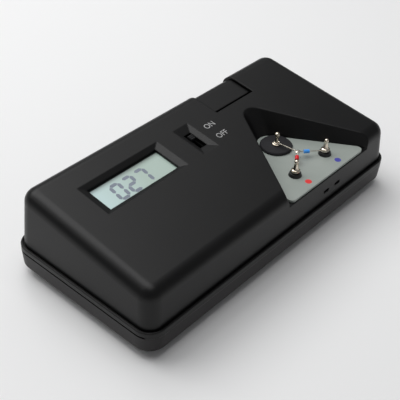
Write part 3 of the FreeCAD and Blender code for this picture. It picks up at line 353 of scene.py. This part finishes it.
# Sensor plate: a triangle of aluminium sheet, painted satin grey, lying in the bay.
# Its two round colour marks, red and blue, show which lead goes to which terminal.
plate_paint = grained("plate_paint", tones=[(0.285, 0.318, 0.292), (0.330, 0.362, 0.335)],
                      roughness=(0.38, 0.5), grain_mm=0.35, bump=0.12)
dress(plate_paint, "sensor_plate")
MARK_PLACES = {"red": (19.75, -28.6), "blue": (38.85, -28.6)}
MARK_TONES = {"red": [(0.72, 0.022, 0.022), (0.82, 0.035, 0.035)],
              "blue": [(0.050, 0.050, 0.34), (0.065, 0.065, 0.42)]}
MARK_RADIUS = 1.3
MARK_THICK = 0.02
# Shares of the radius and of the thickness, from the middle over a slightly rounded rim.
MARK_PROFILE = np.array([(0.0, 1.0), (0.5, 1.0), (0.9, 1.0), (0.98, 0.7), (1.0, 0.0)])
ONCE_ROUND = np.linspace(0, 2 * math.pi, 48, endpoint=False)


def grid_faces(rows, columns):
    """Quads of a grid of points, row after row, each row closed round."""
    row = np.arange(rows - 1)[:, None] * columns
    column = np.arange(columns)[None, :]
    after = (column + 1) % columns
    corners = [row + column, row + after, row + columns + after, row + columns + column]
    return np.stack(corners, -1).reshape(-1, 4)


def spun(profile, centre, stretch=1.0):
    """A profile of radius and height in mm, carried once round an upright axis through centre.
    Each round is a circle, or an ellipse where it is stretched along X."""
    radius, height = profile[:, :1], profile[:, 1:]
    return np.stack([centre[0] + stretch * radius * np.cos(ONCE_ROUND),
                     centre[1] + radius * np.sin(ONCE_ROUND),
                     centre[2] + height + 0 * ONCE_ROUND], -1) * MM


plate_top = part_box("sensor_plate")[1][2] / MM
for colour, (mark_x, mark_y) in MARK_PLACES.items():
    disc = spun(MARK_PROFILE * (MARK_RADIUS, MARK_THICK), (mark_x, mark_y, plate_top))
    mark_ink = grained(colour + "_mark_ink", tones=MARK_TONES[colour],
                       roughness=(0.4, 0.5), grain_mm=0.2, bump=0.05, drift_mm=2.0)
    mark = new_piece(colour + "_mark", disc, grid_faces(*disc.shape[:2]), mark_ink, "case", flat=True)

# Terminals: two fixed posts in black insulating bushes, and a third that rides on a dark fibre disc.
# The posts are turned brass, nickel plated and a little worn, with ball heads that the sensor hooks over.
# Nuts under the bay's floor hold them, with a soldering tag and a lead to the board on each fixed one.
bush_plastic = grained("bush_plastic", tones=[(0.008, 0.008, 0.009), (0.012, 0.012, 0.013)],
                       roughness=(0.32, 0.42), grain_mm=0.2, bump=0.1)
dress(bush_plastic, "red_terminal_bush", "blue_terminal_bush")
disc_fibre = grained("disc_fibre", tones=[(0.0075, 0.0073, 0.0092), (0.0105, 0.0100, 0.0130)],
                     roughness=(0.55, 0.7), grain_mm=0.25, bump=0.3, gloss=0.35, drift_mm=5.0)
dress(disc_fibre, "sliding_terminal_disc")
nickel = grained("nickel", tones=[(0.60, 0.52, 0.41), (0.80, 0.73, 0.62)],
                 roughness=(0.15, 0.28), grain_mm=0.3, bump=0.06, metallic=1.0, drift_mm=2.5)
dress(nickel, "terminal_nuts", "sliding_terminal_nut")
dress(tin, "solder_tags")
dress(red_pvc, "red_terminal_lead")
blue_pvc = grained("blue_pvc", tones=[(0.050, 0.33, 0.97), (0.075, 0.40, 1.0)],
                   roughness=(0.3, 0.4), grain_mm=0.2, bump=0.1, drift_mm=3.0)
dress(blue_pvc, "blue_terminal_lead")
STUD_RADIUS = 0.9
# Radii and their depths below the ball's top: a flared collar and a stem that tapers to the neck.
FIXED_STEM = [(STUD_RADIUS, 5.0), (1.75, 5.0), (1.75, 4.55), (1.5, 4.3), (1.1, 4.1), (0.8, 1.55)]
FIXED_BALL = 0.9
# The same for the sliding post: a collar like a washer and a thin straight stem.
SLIDING_STEM = [(STUD_RADIUS, 5.5), (1.7, 5.5), (1.7, 4.9), (0.65, 4.9), (0.65, 2.1)]
SLIDING_BALL = 1.1
BALL_STEPS = 19
EDGE_BREAK = 0.05


def corners_of(node):
    """A CAD node's lowest and highest corners, in mm."""
    low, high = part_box(node)
    return np.array(low) / MM, np.array(high) / MM


def ball_head(radius, top, neck):
    """Profile of a ball from the neck to the pole: an arc of that radius whose highest point is at top."""
    angle = np.linspace(-math.acos(neck / radius), math.pi / 2, BALL_STEPS)
    return np.stack([radius * np.cos(angle), top - radius + radius * np.sin(angle)], -1)


def broken_corners(profile):
    """The same profile, with each inner corner cut by a flat that starts and ends EDGE_BREAK from it."""
    corner = profile[1:-1]
    before = corner - profile[:-2]
    after = profile[2:] - corner
    before *= EDGE_BREAK / np.linalg.norm(before, axis=1)[:, None]
    after *= EDGE_BREAK / np.linalg.norm(after, axis=1)[:, None]
    flats = np.stack([corner - before, corner + after], 1).reshape(-1, 2)
    return np.concatenate([profile[:1], flats, profile[-1:]])


for name, stem, ball, body in (("red", FIXED_STEM, FIXED_BALL, "case"),
                               ("blue", FIXED_STEM, FIXED_BALL, "case"),
                               ("sliding", SLIDING_STEM, SLIDING_BALL, "release")):
    # A turned post: the stud, the collar, the stem and the ball are one profile round the axis.
    low, high = corners_of(name + "_terminal_post")
    foot, top = low[2], high[2]
    shank = np.array([(0, foot), (STUD_RADIUS, foot)] + [(radius, top - depth) for radius, depth in stem])
    profile = np.concatenate([broken_corners(shank), ball_head(ball, top, shank[-1, 0])])
    surface = spun(profile, ((low[0] + high[0]) / 2, (low[1] + high[1]) / 2, 0))
    post = new_piece(name + "_post", surface, grid_faces(*surface.shape[:2]), nickel, body)
    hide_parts(name + "_terminal_post")

# Release slide and its guide: a thumb pad in the case's back edge, with the third terminal on its foot.
# It is moulded in the same black plastic as the housing and runs in a channel under the bay's floor.
dress(case_plastic, "release_slide")
dress(black_plastic, "slide_guide")

# Sensor: a welded bead held by a red-sleeved and a blue-sleeved lead, and by a twisted stay wire.
# Drawn nickel-alloy wire with a ring at each far end; the stay slackens as the release is pushed.
sensor_wire = grained("sensor_wire", tones=[(0.70, 0.64, 0.54), (0.86, 0.82, 0.74)],
                      roughness=(0.2, 0.32), grain_mm=0.2, bump=0.08, metallic=1.0, drift_mm=2.0)
dress(sensor_wire, "red_lead", "blue_lead")
dress(red_pvc, "red_sleeve")
dress(blue_pvc, "blue_sleeve")
RING_WIRE = 0.25
RING_STEPS = 49
WIRE_ROUND = np.linspace(0, 2 * math.pi, 12, endpoint=False)


def wire(path, radius, side):
    """A round wire: a circle carried along a path in mm, its first axis square to the path and to the side
    direction. A point closes each end."""
    along = np.gradient(path, axis=0)
    along /= np.linalg.norm(along, axis=1)[:, None]
    first = np.cross(along, side)
    first /= np.linalg.norm(first, axis=1)[:, None]
    second = np.cross(along, first)
    rings = path[:, None] + radius * (first[:, None] * np.cos(WIRE_ROUND)[None, :, None]
                                      + second[:, None] * np.sin(WIRE_ROUND)[None, :, None])
    near_end = np.broadcast_to(path[0], (1, len(WIRE_ROUND), 3))
    far_end = np.broadcast_to(path[-1], (1, len(WIRE_ROUND), 3))
    return np.concatenate([near_end, rings, far_end]) * MM


for node, piece_name, body in (("red_ring", "red_ring_wire", "case"),
                               ("blue_ring", "blue_ring_wire", "case"),
                               ("sensor_stay_ring", "stay_ring_wire", "release")):
    # A circle in plan, as wide as the CAD ring, with its ends welded to each other.
    low, high = corners_of(node)
    middle = (low + high) / 2
    reach = (high[0] - low[0]) / 2 - RING_WIRE
    loop = np.linspace(0, 2 * math.pi, RING_STEPS)
    hoop = wire(np.stack([middle[0] + reach * np.cos(loop), middle[1] + reach * np.sin(loop),
                          np.full(RING_STEPS, middle[2])], -1), RING_WIRE, (0, 0, 1))
    ring = new_piece(piece_name, hoop, grid_faces(*hoop.shape[:2]), sensor_wire, body)
    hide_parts(node)

STRAND_RADIUS = 0.14
TWIST_PITCH = 1.25
STRAND_STEPS = 120
stay_low, stay_high = corners_of("sensor_stay_wire")
stay_x = (stay_low[0] + stay_high[0]) / 2
stay_length = stay_high[1] - stay_low[1]
stay_run = np.linspace(0, 1, STRAND_STEPS)
stay_top = stay_high[2] - 2 * STRAND_RADIUS
stay_fall = stay_high[2] - stay_low[2] - 4 * STRAND_RADIUS
strands = []
for start in (0, math.pi):
    # Each strand winds round the straight line from bead to ring, half a turn from the other.
    wind = start + 2 * math.pi * stay_run * stay_length / TWIST_PITCH
    strand_path = np.stack([stay_x + STRAND_RADIUS * np.cos(wind), stay_low[1] + stay_length * stay_run,
                            stay_top - stay_fall * stay_run + STRAND_RADIUS * np.sin(wind)], -1)
    strands.append(wire(strand_path, STRAND_RADIUS, (1, 0, 0)))
strand_rows, strand_columns = strands[0].shape[:2]
strand_faces = grid_faces(strand_rows, strand_columns)
twist_faces = np.concatenate([strand_faces, strand_faces + strand_rows * strand_columns])
stay = new_piece("twisted_stay", np.concatenate(strands), twist_faces, sensor_wire, "case")
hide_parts("sensor_stay_wire")
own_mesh(stay)

# The bead is a flattened ball: a superellipsoid whose sections are a little squarer than an ellipse.
# It is wider towards the two leads, where the weld has run out along them.
BEAD_POWER = 0.8
BEAD_STRETCH = 1.3
BEAD_STEPS = 25
bead_low, bead_high = corners_of("sensor_bead")
bead_half = (bead_high - bead_low) / 2
climb = np.linspace(-math.pi / 2, math.pi / 2, BEAD_STEPS)
bead_radius = np.abs(np.cos(climb)) ** BEAD_POWER * bead_half[0]
bead_height = np.sign(np.sin(climb)) * np.abs(np.sin(climb)) ** BEAD_POWER * bead_half[2]
bead_surface = spun(np.stack([bead_radius, bead_height], -1), (bead_low + bead_high) / 2, BEAD_STRETCH)
bead = new_piece("welded_bead", bead_surface, grid_faces(*bead_surface.shape[:2]), sensor_wire, "case")
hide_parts("sensor_bead")

# Release spring: a coil of steel wire between the seat behind the bay and the slide's web.
# It shortens as the release pad is pushed.
COIL_WIRE = 0.3
COIL_TURNS = 5
COIL_STEPS = 240
spring_low, spring_high = corners_of("release_spring")
spring_middle = (spring_low + spring_high) / 2
coil_radius = (spring_high[0] - spring_low[0]) / 2 - COIL_WIRE
coil_length = spring_high[1] - spring_low[1]
coil_run = np.linspace(0, 1, COIL_STEPS)
coil_turn = 2 * math.pi * COIL_TURNS * coil_run
# A helix along Y: a circle round the spring's middle line that moves on evenly with its turn.
coil_path = np.stack([spring_middle[0] + coil_radius * np.cos(coil_turn),
                      spring_low[1] + COIL_WIRE + (coil_length - 2 * COIL_WIRE) * coil_run,
                      spring_middle[2] + coil_radius * np.sin(coil_turn)], -1)
coil = wire(coil_path, COIL_WIRE, (0, 1, 0))
spring = new_piece("coil_spring", coil, grid_faces(*coil.shape[:2]), zinc_steel, "case")
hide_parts("release_spring")
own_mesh(spring)

# Probe socket: a moulded block behind the two slots in the front wall, for a plug with flat blades.
# A tinned spring strip lies along the floor of each slot.
dress(bush_plastic, "probe_socket")
dress(tin, "probe_contacts")

# Studio floor: a sheet of pale paper that runs under the instrument and curves up behind it.
# The rubber feet stand on it, and it isn't part of the instrument.
FLOOR_TONE = (0.88, 0.88, 0.88)
FLOOR_ROUGHNESS = 0.9
FLOOR_FRONT = -2.0
FLOOR_BEND = 1.4
FLOOR_HALF_WIDTH = 2.5
BEND_RADIUS = 0.6
FLOOR_STEPS = 24
# A flat run and then a quarter of a circle, carried straight across.
bend = np.linspace(0, math.pi / 2, FLOOR_STEPS)
floor_run = np.concatenate([np.linspace(FLOOR_FRONT, FLOOR_BEND, FLOOR_STEPS),
                            FLOOR_BEND + BEND_RADIUS * np.sin(bend)])
floor_rise = np.concatenate([np.zeros(FLOOR_STEPS), BEND_RADIUS * (1 - np.cos(bend))])
floor_side = np.linspace(-FLOOR_HALF_WIDTH, FLOOR_HALF_WIDTH, FLOOR_STEPS)
floor_grid = np.broadcast_arrays(floor_side[None, :], floor_run[:, None], floor_rise[:, None])
floor_points = np.stack(floor_grid, -1).reshape(-1, 3)
floor_corner = np.arange(len(floor_run) - 1)[:, None] * FLOOR_STEPS + np.arange(FLOOR_STEPS - 1)[None, :]
floor_quads = np.stack([floor_corner, floor_corner + 1, floor_corner + FLOOR_STEPS + 1,
                        floor_corner + FLOOR_STEPS], -1).reshape(-1, 4)
floor_mesh = bpy.data.meshes.new("studio_floor")
floor_mesh.from_pydata(floor_points.tolist(), [], floor_quads.tolist())
floor_mesh.polygons.foreach_set("use_smooth", np.full(len(floor_mesh.polygons), True))
floor_paper, _, paper_shader = new_material("floor_paper")
set_sockets(paper_shader, {"Base Color": (*FLOOR_TONE, 1.0), "Roughness": FLOOR_ROUGHNESS})
floor_mesh.materials.append(floor_paper)
floor = bpy.data.objects.new("studio_floor", floor_mesh)
scene.collection.objects.link(floor)

# Studio light: four soft boxes, three behind the instrument and one over it, and a dim pale sky.
# Places and sizes are in metres, and powers in watts.
SKY_TONE = (0.97, 0.98, 1.0)
SKY_STRENGTH = 0.21
LAMP_TARGET = Vector((0, 0, 0.02))
scene.view_settings.view_transform = "Standard"
sky = bpy.data.worlds.new("studio_sky")
sky.use_nodes = True
set_sockets(sky.node_tree.nodes["Background"], {"Color": (*SKY_TONE, 1.0), "Strength": SKY_STRENGTH})
scene.world = sky


def soft_box(name, place, size, power):
    """A square area lamp at place that faces the middle of the instrument."""
    lamp = bpy.data.lights.new(name, "AREA")
    lamp.shape = "SQUARE"
    lamp.size = size
    lamp.energy = power
    holder = bpy.data.objects.new(name, lamp)
    holder.location = place
    holder.rotation_euler = (LAMP_TARGET - Vector(place)).to_track_quat("-Z", "Y").to_euler()
    scene.collection.objects.link(holder)


soft_box("back_soft_box", place=(0.05, 0.55, 0.85), size=0.75, power=4.1)
soft_box("left_soft_box", place=(-0.35, 0.60, 0.75), size=0.6, power=2.4)
soft_box("right_soft_box", place=(0.45, 0.50, 0.75), size=0.6, power=0.75)
soft_box("top_soft_box", place=(0.0, 0.0, 1.0), size=0.6, power=2.7)

# Camera: fitted to the case's edges in the photograph, with a little roll and no shift.
# It looks from the display end, on the user's side, down at the target.
CAMERA_AZIMUTH = math.radians(-50.029)
CAMERA_ELEVATION = math.radians(39.02)
CAMERA_ROLL = math.radians(2.813)
CAMERA_DISTANCE = 322.331 * MM
CAMERA_TARGET = Vector((-10.153, -1.482, 17.0)) * MM
CAMERA_LENS = 77.909
CAMERA_SENSOR = 36.0
back = Vector((math.sin(CAMERA_AZIMUTH) * math.cos(CAMERA_ELEVATION),
               -math.cos(CAMERA_AZIMUTH) * math.cos(CAMERA_ELEVATION), math.sin(CAMERA_ELEVATION)))
right = (-back).cross(Vector((0, 0, 1))).normalized()
up = right.cross(-back)
camera_x = right * math.cos(CAMERA_ROLL) + up * math.sin(CAMERA_ROLL)
camera_y = -right * math.sin(CAMERA_ROLL) + up * math.cos(CAMERA_ROLL)
camera_turn = Matrix((camera_x, camera_y, back)).transposed().to_4x4()
camera = bpy.data.objects.new("camera", bpy.data.cameras.new("camera"))
camera.data.lens = CAMERA_LENS
camera.data.sensor_width = CAMERA_SENSOR
camera.matrix_world = Matrix.Translation(CAMERA_TARGET + back * CAMERA_DISTANCE) @ camera_turn
scene.collection.objects.link(camera)
scene.camera = camera
